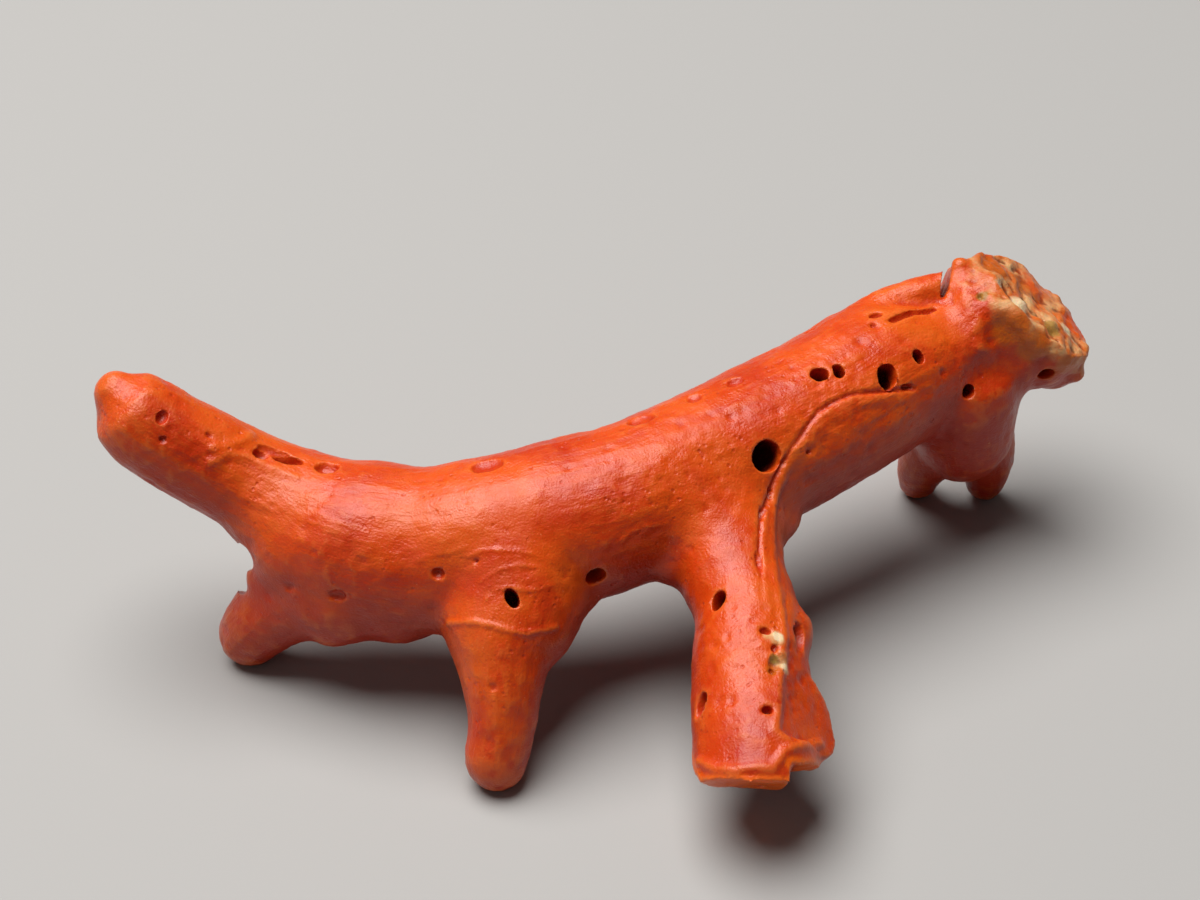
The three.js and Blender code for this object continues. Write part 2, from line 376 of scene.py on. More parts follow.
# %% Break off the head and the stub
# Each is its middle, the way it faces, the way its length runs, half its width and length,
# and how high the tears are.
BREAKS = {
    "head_break": ((23.15, 10.8, 12.7), (0.64, 0.07, 0.765), (0, 0, 1), (5, 5), 0.9),
    "stub_break": ((7.1, -15.0, 3.4), (0, -0.74, -0.67), (0, 0, 1), (5, 5), 0.45),
    "stub_corner": ((5.0, -15.0, 3.4), (-0.8, -0.3, -0.5), (0, 0, 1), (2.5, 2.5), 0.2),
    "stub_step": ((10.3, -14.6, 4.2), (0, -0.74, -0.67), (0, 0, 1), (1.5, 4), 0.3),
    "stub_facet": ((9.38, -12.24, 6.65), (0.72, -0.26, 0.64), (0, -0.93, -0.37), (3, 2.6), 0.2),
}
SHEET_SQUARES = 60
SHEET_DEPTH = 7
# The size of the clouds that tear a sheet and their share of the height of its tears.
TEARS = {"_wide": (1.6, 1), "_fine": (0.5, 0.35)}


def clouds(name, size):
    """A soft cloud texture whose clouds are about a size in millimetres."""
    texture = bpy.data.textures.new(name, "CLOUDS")
    texture.noise_scale = size
    texture.noise_depth = 2
    return texture


def roughen(piece, name, size, height, **settings):
    """Push the skin of a piece up and down with a cloud texture."""
    texture = clouds(name, size)
    apply_modifier(
        piece, "DISPLACE", texture=texture, strength=height, texture_coords="LOCAL", **settings
    )


def turned(facing, length_way):
    """The turn that brings Z to the facing and Y as near as can be to the length."""
    z = Vector(facing).normalized()
    y = (Vector(length_way) - z * z.dot(Vector(length_way))).normalized()
    return Matrix((y.cross(z), y, z)).transposed().to_euler()


def torn_cutter(name, at, facing, length_way, half, torn):
    """A torn sheet with depth behind it, that starts on the break."""
    bpy.ops.object.select_all(action="DESELECT")
    bpy.ops.mesh.primitive_grid_add(
        x_subdivisions=SHEET_SQUARES, y_subdivisions=SHEET_SQUARES, size=2
    )
    cutter = bpy.context.object
    cutter.name = name
    bpy.ops.transform.resize(value=(half[0], half[1], 1))
    bpy.ops.object.transform_apply(location=True, rotation=True, scale=True)
    for ending, (size, share) in TEARS.items():
        roughen(cutter, name + ending, size, share * torn, direction="Z")
    bpy.ops.object.mode_set(mode="EDIT")
    bpy.ops.mesh.select_all(action="SELECT")
    bpy.ops.mesh.extrude_region_move(TRANSFORM_OT_translate={"value": (0, 0, SHEET_DEPTH)})
    bpy.ops.mesh.select_all(action="SELECT")
    bpy.ops.mesh.normals_make_consistent(inside=False)
    bpy.ops.object.mode_set(mode="OBJECT")
    cutter.rotation_euler = turned(facing, length_way)
    cutter.location = at
    bpy.ops.object.transform_apply(location=True, rotation=True, scale=True)
    return cutter


def cut_away(piece, cutter):
    """Take a cutter away from a piece, and give back the points of the cutter's own skin."""
    apply_modifier(piece, "BOOLEAN", operation="DIFFERENCE", object=cutter, solver="MANIFOLD")
    cutter_points = skin_points(cutter)
    bpy.data.objects.remove(cutter)
    return cutter_points


break_points = {}
for name, sheet in BREAKS.items():
    break_points[name] = cut_away(coral, torn_cutter(name, *sheet))
    print(name, "leaves", len(coral.data.polygons), "faces")

# %% Wear the broken edges
STUB_BREAKS = ("stub_break", "stub_corner", "stub_step", "stub_facet")
WORN_REACH = 1.1
WORN_SMOOTHING = 18


def break_tree(names):
    """A tree of the points of some of the torn sheets."""
    return point_tree(np.concatenate([break_points[name] for name in names]))


worn = np.clip(1 - gaps_to(break_tree(STUB_BREAKS), skin_points(coral)) / WORN_REACH, 0, 1)
weigh(coral, "worn_breaks", worn)
apply_modifier(coral, "SMOOTH", factor=0.5, iterations=WORN_SMOOTHING, vertex_group="worn_breaks")
print("worn vertices:", int((worn > 0).sum()))

# %% [markdown]
# ## Borings, hollows and cracks
#
# Boring sponges and worms leave round holes that go deep, and wear leaves shallow hollows
# with a crisp rim. Each is cut by an egg that is set square into the skin: its place is
# moved to the nearest point of the skin and its axis is the skin's own normal there. A crack
# is a chain of small eggs, and a gap is one long egg that goes right through. All the eggs
# are melted into one cutter and roughened together, so that none is a perfect ellipse.

# %% Places of the borings and hollows
# Each is x, y, z, length, width, lean of the length over the surface in degrees, depth.
BORINGS = [
    (8.2, -1.1, 12.2, 1.65, 1.5, 70, 3.0),
    (14.4, 3.7, 13.5, 1.3, 1.05, 80, 3.0),
    (11.9, 3.4, 14.1, 0.8, 0.6, 110, 1.8),
    (10.9, 3.1, 14.1, 1.0, 0.75, 15, 1.3),
    (16.1, 5.1, 13.7, 0.75, 0.6, 115, 2.0),
    (18.8, 5.6, 11.1, 0.75, 0.65, 80, 1.2),
    (23.1, 7.6, 10.7, 0.9, 0.8, 20, 1.5),
    (-4.2, -8.2, 9.2, 1.0, 0.6, 110, 1.5),
    (-0.2, -6.0, 8.6, 1.05, 1.0, 0, 0.9),
    (5.7, -8.0, 8.8, 1.05, 0.75, 70, 1.6),
    (-21.2, -1.2, 14.7, 0.75, 0.5, 60, 0.35),
    (-21.2, -1.9, 13.8, 0.4, 0.35, 0, 0.3),
    (10.3, -0.3, 11.8, 0.25, 0.25, 0, 0.4),
    (13.8, 6.5, 14.7, 0.35, 0.3, 0, 0.5),
    (8.1, -12.0, 7.9, 0.3, 0.3, 0, 0.4),
    (-9.2, 0.9, 8.2, 1.1, 0.9, 30, 1.8),
    (-2.6, 1.8, 9.6, 0.7, 0.6, 10, 1.6),
    (0.4, 2.6, 7.9, 0.9, 0.6, 70, 1.4),
    (4.0, 4.6, 9.4, 1.5, 1.2, 50, 2.4),
    (7.4, 6.2, 11.4, 0.6, 0.5, 0, 1.2),
    (12.6, 9.0, 9.0, 0.9, 0.7, 20, 1.6),
    (16.0, 11.4, 10.2, 1.0, 0.8, 100, 2.0),
    (-20.5, 1.9, 11.9, 0.6, 0.5, 0, 1.2),
    (-6.0, -2.0, 4.0, 1.0, 0.8, 0, 1.6),
    (2.0, 0.4, 5.2, 0.8, 0.7, 40, 1.4),
    (11.0, 4.6, 6.1, 1.3, 1.0, 20, 2.0),
    (21.4, 13.8, 11.0, 0.8, 0.6, 0, 1.4),
]
HOLLOWS = [
    (-5.5, -2.1, 12.5, 1.7, 1.1, 5, 0.3),
    (2.0, 0.5, 13.2, 1.5, 1.0, 15, 0.25),
    (4.7, 1.8, 13.6, 0.9, 0.7, 20, 0.22),
    (6.7, 2.8, 13.8, 1.0, 0.7, 25, 0.25),
    (-13.4, -1.2, 11.6, 1.2, 1.0, 0, 0.45),
    (-16.6, -0.9, 12.2, 0.9, 0.65, 10, 0.5),
    (-15.3, -0.9, 11.9, 1.6, 0.6, -5, 0.7),
    (-16.0, -0.6, 12.1, 1.8, 0.5, -8, 0.25),
    (-12.8, -6.3, 7.6, 0.9, 0.7, 20, 0.22),
    (-7.8, -6.7, 9.4, 0.6, 0.5, 0, 0.3),
    (-5.9, -6.7, 10.2, 0.3, 0.3, 0, 0.25),
    (4.8, -12.6, 6.3, 1.3, 0.8, 60, 0.7),
    (7.8, -10.0, 8.6, 0.65, 0.45, 0, 0.4),
    (8.2, -10.8, 8.2, 0.5, 0.4, 90, 0.35),
    (8.4, -11.4, 8.0, 1.2, 0.9, 30, 0.28),
    (7.8, -14.0, 7.3, 0.55, 0.45, 0, 0.6),
    (9.5, -9.2, 7.6, 1.5, 0.85, 100, 0.55),
    (15.5, 3.7, 12.8, 0.9, 0.3, 0, 0.5),
    (14.0, 7.3, 14.7, 0.8, 0.55, 20, 0.45),
    (19.4, 8.8, 14.9, 0.5, 0.25, 90, 0.4),
    (17.5, 5.1, 12.7, 0.5, 0.5, 0, 0.12),
    (-19.0, -1.1, 13.5, 0.45, 0.4, 0, 0.12),
    (10.7, 7.2, 13.8, 0.7, 0.5, 20, 0.2),
    (-15.2, -5.3, 7.3, 0.7, 0.5, 40, 0.12),
    (-5.1, -10.7, 5.7, 0.5, 0.45, 0, 0.12),
    (7.6, -6.1, 9.8, 1.1, 0.25, 95, 0.3),
    (7.9, -3.4, 10.5, 0.8, 0.3, 95, 0.35),
    (8.3, -2.1, 10.6, 0.8, 0.25, 95, 0.4),
    (7.5, -14.3, 2.7, 0.8, 0.7, 90, 0.35),
    (20.6, 8.6, 14.7, 0.3, 0.25, 0, 0.4),
    (22.9, 9.4, 12.9, 0.4, 0.35, 0, 0.45),
    (21.9, 9.8, 13.9, 0.35, 0.3, 30, 0.4),
    (23.4, 8.2, 12.1, 0.3, 0.25, 0, 0.3),
    (-11.0, 0.8, 10.4, 1.6, 0.9, 10, 0.3),
    (-3.5, 1.2, 6.6, 1.8, 1.1, 5, 0.35),
    (9.5, 7.2, 8.8, 1.4, 0.9, 30, 0.3),
    (17.6, 10.6, 8.2, 1.2, 0.9, 60, 0.3),
]
# The crack along the ledge: its girth and its path.
CRACK_GIRTH = 0.15
CRACK = [
    (14.8, 6.9, 14.7), (15.4, 7.4, 14.7), (16.0, 7.9, 14.7), (16.7, 8.2, 14.7),
    (17.2, 8.6, 14.8),
]
# The length, width and depth of each egg in the crack, as shares of its girth.
CRACK_EGG = (3, 2, 2.4)
# Gaps that go right through from front to back. Each is the middle of the gap, its width,
# its height and the lean of its height to the right in degrees.
GAPS = [
    (17.91, 10.4, 15.0, 0.42, 2.6, 12),
    (-17.95, -2.3, 4.78, 0.7, 0.6, -30),
    (-17.71, -2.5, 6.92, 1.4, 1.0, 55),
]
GAP_WAY = (0, 0.79, -0.61)
GAP_LENGTH = 14


def walk(path, step):
    """Points along a path of straight pieces, a step apart."""
    rows = []
    for start, end in zip(path, path[1:]):
        start, end = Vector(start), Vector(end)
        count = max(2, math.ceil((end - start).length / step))
        rows += [start.lerp(end, i / count) for i in range(count)]
    return rows + [Vector(path[-1])]


# %% Cut the borings
EGG_VOXEL = 0.06
EGG_CLOUDS = 0.45
EGG_ROUGHNESS = 0.16


def ball(subdivisions, place, turn, size):
    """A ball stretched to half its length, width and depth, and turned."""
    bpy.ops.object.select_all(action="DESELECT")
    bpy.ops.mesh.primitive_ico_sphere_add(
        subdivisions=subdivisions, radius=1, location=place, rotation=turn, scale=size
    )
    bpy.ops.object.transform_apply(location=True, rotation=True, scale=True)
    return bpy.context.object


def egg(place, length, width, lean, depth):
    """One egg sunk square into the skin, with its length turned over the surface."""
    _, place, normal, _ = coral.closest_point_on_mesh(place)
    side = (Vector((1, 0, 0)) - normal * normal.x).normalized()
    upward = normal.cross(side)
    turn = math.radians(lean)
    along = side * math.cos(turn) + upward * math.sin(turn)
    across = along.cross(normal)
    basis = Matrix((along, -across, normal)).transposed()
    return ball(3, place, basis.to_euler(), (length / 2, width / 2, depth))


eggs = [egg((x, y, z), *size) for x, y, z, *size in BORINGS + HOLLOWS]
long, wide, deep = [share * CRACK_GIRTH for share in CRACK_EGG]
eggs += [egg(point, long, wide, 0, deep) for point in walk(CRACK, CRACK_GIRTH)]
for x, y, z, width, height, lean in GAPS:
    turn = math.radians(lean)
    upward = Vector((math.sin(turn), 0, math.cos(turn)))
    size = (width / 2, height / 2, GAP_LENGTH / 2)
    eggs.append(ball(4, (x, y, z), turned(GAP_WAY, upward), size))
only(eggs[0])
for one in eggs:
    one.select_set(True)
bpy.ops.object.join()
eggs = bpy.context.object
eggs.name = "borings_cutter"
eggs.data.remesh_voxel_size = EGG_VOXEL
bpy.ops.object.voxel_remesh()
roughen(eggs, "egg_roughness", EGG_CLOUDS, EGG_ROUGHNESS)
whole_skin = skin_points(coral)
cut_away(coral, eggs)
print("bored skin:", len(coral.data.polygons), "faces")

# %% [markdown]
# ## A fine even skin
#
# The cuts leave long thin faces. A second voxel remesh gives small even faces all over, which
# the relief of the next steps needs, and takes the knife edge off every rim, as wear does.

# %% Remesh finely
FINE_VOXEL = 0.12

only(coral)
coral.data.remesh_voxel_size = FINE_VOXEL
bpy.ops.object.voxel_remesh()
apply_modifier(coral, "SMOOTH", factor=0.5, iterations=2)
print("fine skin:", len(coral.data.polygons), "faces")

# %% [markdown]
# ## The worn relief
#
# A polished branch isn't smooth. It has low swells, creases where it grew round a dead
# branch, low crescents, and folds and ridges on its broken ends. Each kind of relief is a
# vertex group that says how strongly it acts, and a displace modifier that pushes the skin
# along its normals by that much. The weights come from the distance to a path or a point,
# which is what one would paint by hand with a soft brush.

# %% A brush that follows a path
PATH_STEP = 0.12


def near_path(points, path, reach):
    """One on a path of straight pieces, falling softly to nothing at the reach."""
    rows = np.array([row[:] for row in walk(path, PATH_STEP)])
    low, high = rows.min(axis=0) - reach, rows.max(axis=0) + reach
    close = np.flatnonzero(np.all((points > low) & (points < high), axis=1))
    weights = np.zeros(len(points))
    if len(close):
        gaps = np.linalg.norm(points[close, None, :] - rows[None, :, :], axis=2).min(axis=1)
        weights[close] = np.clip(1 - (gaps / reach) ** 2, 0, 1) ** 2
    return weights


def push(piece, name, weights, height, texture=None, **settings):
    """Raise the skin by a height, or sink it, where the weights say so."""
    weigh(piece, name, weights)
    if texture:
        settings["texture"] = texture
        settings["texture_coords"] = "LOCAL"
    else:
        settings["mid_level"] = 0
    apply_modifier(piece, "DISPLACE", strength=height, vertex_group=name, **settings)


# %% Low swells all over
# Each is its name, the size of its clouds and its height.
SWELLS = [("wide_swell", 3.0, 0.22), ("small_swell", 1.0, 0.06), ("dents", 0.45, 0.055)]

for name, size, height in SWELLS:
    roughen(coral, name, size, height)
    print(name, "of", height, "mm")

# %% Creases, ridges and crescents
# Each is its height, half its width and its path.
SEAM = [
    (14.9, 3.4, 12.9), (14.0, 3.0, 13.1), (13.0, 2.6, 13.3), (12.3, 2.3, 13.4), (11.5, 1.8, 13.3),
    (10.8, 1.2, 13.2), (10.3, 0.6, 12.9), (9.9, 0.1, 12.5), (9.4, -0.4, 12.2), (9.0, -1.0, 11.7),
    (8.6, -1.5, 11.2), (8.3, -2.1, 10.6), (8.0, -3.0, 10.5), (7.8, -3.8, 10.4), (7.7, -4.9, 10.0),
    (7.7, -5.8, 9.8), (7.7, -6.9, 9.5), (7.7, -8.3, 9.1),
]
SEAM_LIP = [(x + 0.3, y - 0.25, z - 0.3) for x, y, z in SEAM]
RELIEF = {
    "seam_lip": (0.06, 0.5, SEAM_LIP),
    "seam": (-0.17, 0.17, SEAM),
    "seam_end": (-0.10, 0.2, [(14.9, 3.4, 12.9), (15.5, 3.7, 12.8), (15.9, 3.9, 12.6)]),
    "collar": (0.10, 0.28, [
        (-7.3, -7.9, 7.3), (-6.8, -8.3, 7.7), (-6.0, -8.7, 8.1), (-5.1, -9.0, 8.1),
        (-4.4, -9.2, 8.0), (-3.6, -9.2, 7.8), (-2.9, -8.9, 7.7), (-2.1, -8.4, 7.5),
    ]),
    "crescent_1": (0.05, 0.2, [
        (-6.3, -6.5, 10.3), (-5.7, -6.4, 10.6), (-4.9, -6.5, 10.7), (-3.9, -6.5, 10.7),
        (-3.0, -6.6, 10.5),
    ]),
    "crescent_2": (0.05, 0.2, [
        (-5.7, -7.4, 9.5), (-5.1, -7.2, 9.9), (-4.4, -7.1, 10.2), (-3.7, -7.0, 10.2),
        (-3.1, -7.0, 10.1),
    ]),
    "crescent_3": (0.035, 0.2, [
        (-8.9, -6.3, 9.9), (-8.1, -6.3, 10.2), (-7.2, -6.3, 10.4), (-6.5, -6.2, 10.6),
    ]),
    "crescent_4": (0.045, 0.2, [
        (-5.4, -8.1, 9.0), (-5.0, -7.9, 9.3), (-4.5, -7.8, 9.5), (-3.3, -7.8, 9.3),
        (-2.3, -7.4, 9.3),
    ]),
    "crescent_5": (0.045, 0.2, [
        (1.0, -5.4, 10.3), (1.4, -5.2, 10.6), (2.0, -4.9, 10.8), (2.7, -4.7, 10.7),
        (3.3, -4.5, 10.7),
    ]),
    "tail_wrinkle_1": (0.08, 0.4, [
        (-18.8, -1.5, 13.0), (-18.2, -1.2, 12.9), (-17.5, -0.6, 12.8), (-17.1, 0.2, 12.6),
    ]),
    "tail_wrinkle_2": (0.09, 0.4, [
        (-18.9, -2.0, 12.5), (-18.1, -1.5, 12.6), (-17.3, -1.3, 12.4), (-16.5, -1.5, 12.0),
        (-15.7, -1.7, 11.7), (-14.9, -2.0, 11.6),
    ]),
    "tail_wrinkle_3": (0.05, 0.3, [
        (-18.2, -2.4, 11.3), (-17.6, -2.6, 10.9), (-16.8, -2.9, 10.8), (-16.1, -3.3, 10.6),
    ]),
    "stub_ridge": (0.12, 0.4, [
        (9.2, -1.1, 11.3), (8.7, -1.8, 10.5), (8.4, -3.2, 9.9), (8.4, -5.0, 9.5),
        (8.4, -6.9, 9.2), (8.6, -8.5, 8.7), (8.7, -10.1, 8.2), (8.5, -11.6, 7.8),
        (8.4, -13.3, 7.3), (8.1, -14.9, 6.9), (8.8, -15.4, 6.4),
    ]),
    "head_fold": (0.16, 0.8, [
        (18.5, 10.7, 15.3), (18.6, 9.8, 14.8), (18.9, 8.6, 14.4), (19.3, 7.6, 13.9),
        (19.6, 7.0, 13.1),
    ]),
    "head_brow": (0.22, 0.8, [
        (19.9, 8.5, 14.7), (20.9, 8.1, 14.3), (21.7, 7.7, 13.6), (22.5, 7.5, 12.5),
    ]),
    "head_hollow": (-0.4, 1.7, [(20.4, 7.2, 13.2), (21.0, 6.9, 12.2), (19.7, 6.4, 11.9)]),
    "stub_rim": (0.14, 0.4, [
        (4.6, -15.1, 5.1), (5.3, -16.2, 5.7), (6.2, -16.7, 6.1), (7.1, -16.7, 6.3),
        (7.9, -16.7, 6.2), (8.5, -15.8, 6.4), (9.3, -15.2, 6.2), (10.4, -13.7, 4.9),
    ]),
}
for name, (height, reach, path) in RELIEF.items():
    push(coral, name, near_path(skin_points(coral), path, reach), height)
print("paths of relief:", len(RELIEF))

# %% [markdown]
# ## Pocks
#
# The polish shows hundreds of tiny pits, each a few tenths of a millimetre wide, thickest on
# the upper side towards the broken end and on the thick front stub. They are scattered over
# the skin with fixed random numbers, more where a patch is given, and sunk in one go.

# %% Scatter the pocks
POCK_COUNT = 1100
# Each is the middle of a patch, its reach and how thick the pocks are in it.
POCK_PATCHES = [
    ((12.0, 2.5, 13.0), 6.0, 1.0), ((7.5, -11.0, 7.5), 4.5, 0.9), ((4.0, -2.0, 12.5), 5.0, 0.7),
    ((-20.5, -1.0, 14.0), 3.5, 0.5), ((19.0, 8.0, 13.0), 4.0, 0.8),
]
POCKS_ELSEWHERE = 0.05
POCK_DEPTH = 0.065
SMALLEST_POCK = 0.12
POCK_SPREAD = 0.3
SHALLOWEST = 0.3

random = np.random.default_rng(8)
points = skin_points(coral)
chance = np.full(len(points), POCKS_ELSEWHERE)
for centre, reach, share in POCK_PATCHES:
    chance = np.maximum(chance, share * closeness(points, centre, reach))
pock_tree = point_tree(points)
pocks = np.zeros(len(points))
for index in random.choice(len(points), POCK_COUNT, replace=False, p=chance / chance.sum()):
    reach = SMALLEST_POCK + POCK_SPREAD * random.random() ** 2
    depth = random.uniform(SHALLOWEST, 1.0) * min(1, reach / POCK_SPREAD)
    for _, other, gap in pock_tree.find_range(points[index], reach):
        pocks[other] = max(pocks[other], depth * (1 - (gap / reach) ** 2))
push(coral, "pocks", pocks, -POCK_DEPTH)
print("pocks:", POCK_COUNT)

# %% [markdown]
# ## Lines of growth
#
# Fine wavy lines run lengthwise along the stem and the stubs, half a millimetre apart. They
# have to follow the bends, so each vertex is given its place in the limb as if the limb had
# been straightened: two offsets from the middle line and the length along it. Noise that is
# drawn out along that length makes the lines. Where two limbs meet the lines fade out, so
# nothing jumps from one limb's flow to the other's.

# %% Straighten the limbs
def middle_line(stations, step=0.05):
    """Middles, radii, lengths and two side directions along a limb."""
    places = np.arange(0, len(stations) - 1 + step / 2, step)
    rows = [smooth_station(stations, place) for place in places]
    middles = [row.to_3d() for row in rows]
    heading = (middles[1] - middles[0]).normalized()
    side = heading.cross(Vector((0, 1, 0.3))).normalized()
    sides, others, lengths = [], [], [0.0]
    for before, after in zip(middles, middles[1:] + [2 * middles[-1] - middles[-2]]):
        way = (after - before).normalized()
        side = (side - way * side.dot(way)).normalized()
        sides.append(side[:])
        others.append(way.cross(side)[:])
        lengths.append(lengths[-1] + (after - before).length)
    return (np.array([m[:] for m in middles]), np.array([row.w for row in rows]),
            np.array(lengths[:-1]), np.array(sides), np.array(others))


FLOW_LIMBS = [STEM, LEFT_STUB, MIDDLE_STUB, RIGHT_STUB, FAR_STUB]
# Each limb's lengths start this much further on, so that no two limbs share a place.
LIMB_STRIDE = 60
# The thick front stub is rubbed nearly smooth, so its lines are fainter.
WORN_LIMB = FLOW_LIMBS.index(RIGHT_STUB)
WORN_LINES = 0.3
# A point is surely in one limb when the next limb is this much further, in radii.
SURE_LEAD = 0.6
# So many points are measured at a time, to spare memory.
BATCH = 20000


def straighten(points, limb_stations):
    """Each point's offsets and length in its own limb, and how surely it is that limb's."""
    best = np.full(len(points), np.inf)
    second = np.full(len(points), np.inf)
    flow = np.zeros((len(points), 3))
    for number, stations in enumerate(limb_stations):
        middles, radii, lengths, sides, others = middle_line(stations)
        near = np.empty(len(points), dtype=int)
        for start in range(0, len(points), BATCH):
            part = points[start:start + BATCH]
            gaps = ((part[:, None, :] - middles[None, :, :]) ** 2).sum(axis=2)
            near[start:start + BATCH] = gaps.argmin(axis=1)
        offset = points - middles[near]
        ratio = np.linalg.norm(offset, axis=1) / radii[near]
        wins = ratio < best
        second = np.where(wins, best, np.minimum(second, ratio))
        best = np.where(wins, ratio, best)
        aside = (offset * sides[near]).sum(axis=1)
        across = (offset * others[near]).sum(axis=1)
        along = lengths[near] + LIMB_STRIDE * number
        flow[wins] = np.stack([aside, across, along], axis=1)[wins]
    sureness = np.clip((second - best) / SURE_LEAD, 0, 1)
    return flow, sureness * np.where(flow[:, 2] // LIMB_STRIDE == WORN_LIMB, WORN_LINES, 1)


# %% Engrave the lines
LINE_SPACING = 0.5
LINE_STRETCH = 7.0
LINE_DEPTH = 0.035
LINE_CONTRAST = 0.8

points = skin_points(coral)
flow, sureness = straighten(points, FLOW_LIMBS)
drawn_out = flow / (LINE_SPACING, LINE_SPACING, LINE_SPACING * LINE_STRETCH)
lines = np.array([noise.noise(Vector(row)) for row in drawn_out])
push(coral, "growth_lines", np.clip(0.5 + LINE_CONTRAST * lines, 0, 1) * sureness, -LINE_DEPTH)
print("lines on", int((sureness > 0.5).sum()), "of", len(points), "vertices")

# %% [markdown]
# ## The crust on the break
#
# The broken head is covered with a pale porous crust, full of small pits with thin walls
# between them. Cell noise makes that pattern: the difference between its two nearest
# distances is nought on the walls and greatest in the middle of a cell. The crust keeps to
# the torn sheet of the head's break, whose points were kept, and to a few patches beside it
# and on the stub. Its edge is ragged, and here and there it is rubbed off again.

# %% Where the crust is
# Each is the middle of a patch and its reach.
CRUST_PATCHES = [
    ((8.5, -11.4, 8.0), 0.7), ((8.35, -10.3, 8.5), 0.5), ((7.9, -10.3, 8.7), 0.3),
    ((21.0, 9.4, 14.6), 1.3), ((22.0, 8.6, 13.7), 0.9), ((23.4, 8.2, 12.2), 1.0),
]
# Where the crust is rubbed off again: place, reach and how much of it is gone.
RUBBED_OFF = [
    ((25.0, 11.3, 11.1), 1.4, 1.0), ((20.4, 11.7, 15.2), 1.5, 0.75),
    ((23.4, 13.0, 13.0), 1.8, 0.6),
]
CRUST_WIDTH = 0.95
CRUST_RAGGED = 0.75
RAGS_SIZE = 1.1
# How steep the fall is at the edge of the crust, of a patch and of a rubbed place.
CRUST_EDGE = 1.6
PATCH_EDGE = 2
RUBBED_EDGE = 1.5

head_tree = break_tree(["head_break"])


def ragged(points, size):
    """Noise from nought to one over the skin."""
    return np.array([0.5 + 0.5 * noise.fractal(Vector(p) / size, 0.8, 2.0, 3) for p in points])


def core(points, centre, reach, edge):
    """One around a centre, falling to nothing at the reach, the more steeply the greater edge."""
    return np.clip(edge * closeness(points, centre, reach), 0, 1)


def crust_weights(points):
    """How much of the crust there is at each point."""
    width = CRUST_WIDTH * (1 + CRUST_RAGGED * (2 * ragged(points, RAGS_SIZE) - 1))
    weights = np.clip(CRUST_EDGE * (1 - gaps_to(head_tree, points) / width), 0, 1)
    for centre, reach in CRUST_PATCHES:
        weights = np.maximum(weights, core(points, centre, reach, PATCH_EDGE))
    for centre, reach, share in RUBBED_OFF:
        weights = weights * (1 - share * core(points, centre, reach, RUBBED_EDGE))
    return weights


# %% Raise the crust
# Each is its name, the size of its cells and its height.
CRUST_LAYERS = [
    ("crust_lumps", 1.5, -0.28), ("crust_pits", 0.7, -0.11), ("crust_grit", 0.3, -0.03),
]
# The height that the pattern leaves where it is.
CRUST_LEVEL = 0.25
# The crust on the stub is thinner than on the head, which starts at this X.
STUB_CRUST = 0.4
HEAD_STARTS = 12

points = skin_points(coral)
crust_now = crust_weights(points) * np.where(points[:, 0] > HEAD_STARTS, 1, STUB_CRUST)
for name, size, height in CRUST_LAYERS:
    cells = bpy.data.textures.new(name, "VORONOI")
    cells.noise_scale = size
    cells.weight_1, cells.weight_2 = -1, 1
    push(coral, name, crust_now, height, texture=cells, mid_level=CRUST_LEVEL)
print("crust covers", int((crust_now > 0.5).sum()), "vertices")

# %% [markdown]
# ## Lighter mesh and level feet
#
# The even skin has more faces than its calm parts need. Decimate takes them away where the
# skin is flat and keeps them where it turns. Then the ground plane cuts the feet level, so
# that the branch rests on small worn flats at the tips of its stubs.

# %% Thin out the faces and level the feet
TRIANGLE_AIM = 194000

only(coral)
coral.data.calc_loop_triangles()
apply_modifier(coral, "DECIMATE", ratio=TRIANGLE_AIM / len(coral.data.loop_triangles))
bpy.ops.object.mode_set(mode="EDIT")
bpy.ops.mesh.select_all(action="SELECT")
bpy.ops.mesh.bisect(plane_co=(0, 0, 0), plane_no=(0, 0, 1), clear_inner=True, use_fill=True)
bpy.ops.mesh.select_all(action="SELECT")
bpy.ops.mesh.normals_make_consistent(inside=False)
bpy.ops.object.mode_set(mode="OBJECT")
coral.vertex_groups.clear()
coral.data.calc_loop_triangles()
print("triangles:", len(coral.data.loop_triangles))

# %% [markdown]
# ## What the finish needs to know
#
# The finish changes with the shape: painted shade darkens the borings, the creases and the
# underside, raised edges are paler, partly from wear and partly as a painted highlight, a painted
# backlight makes the stub's broken end bright orange, and the crust is another stuff altogether,
# with dabs of other tones, some of them painted shade. The mesh itself knows these things best,
# so they are measured once and kept on its points as attributes, which the material then reads.

# %% Measure the skin
SOFTENING_STEPS = 14
EDGE_HEIGHT = 0.045
# Deeper than this, in millimetres, the insides of the borings get painted shade.
SHADE_STARTS = 0.3


def keep(piece, name, values, kind="FLOAT"):
    """Keep one value for each point of the mesh under a name."""
    attribute = piece.data.attributes.new(name, kind, "POINT")
    values = np.ascontiguousarray(values, dtype=np.float32).ravel()
    attribute.data.foreach_set("value" if kind == "FLOAT" else "vector", values)


def edge_height(piece, steps):
    """How far each point stands out from the softened skin, in millimetres."""
    points = skin_points(piece)
    ends = np.empty(2 * len(piece.data.edges), dtype=np.int32)
    piece.data.edges.foreach_get("vertices", ends)
    ends = ends.reshape(-1, 2)
    count = np.bincount(ends.ravel(), minlength=len(points))[:, None]
    soft = points.copy()
    for _ in range(steps):
        total = np.zeros_like(soft)
        for axis in range(3):
            total[:, axis] += np.bincount(ends[:, 0], soft[ends[:, 1], axis], len(points))
            total[:, axis] += np.bincount(ends[:, 1], soft[ends[:, 0], axis], len(points))
        soft = 0.5 * soft + 0.5 * total / np.maximum(count, 1)
    return ((points - soft) * read_vertices(piece, "normal")).sum(axis=1)


END_BREAKS = ("stub_break", "stub_corner", "stub_step")
# The stub's broken end gets painted backlight within this reach of its torn sheets.
BACKLIGHT_REACH = 0.45
BACKLIGHT_EDGE = 1.5
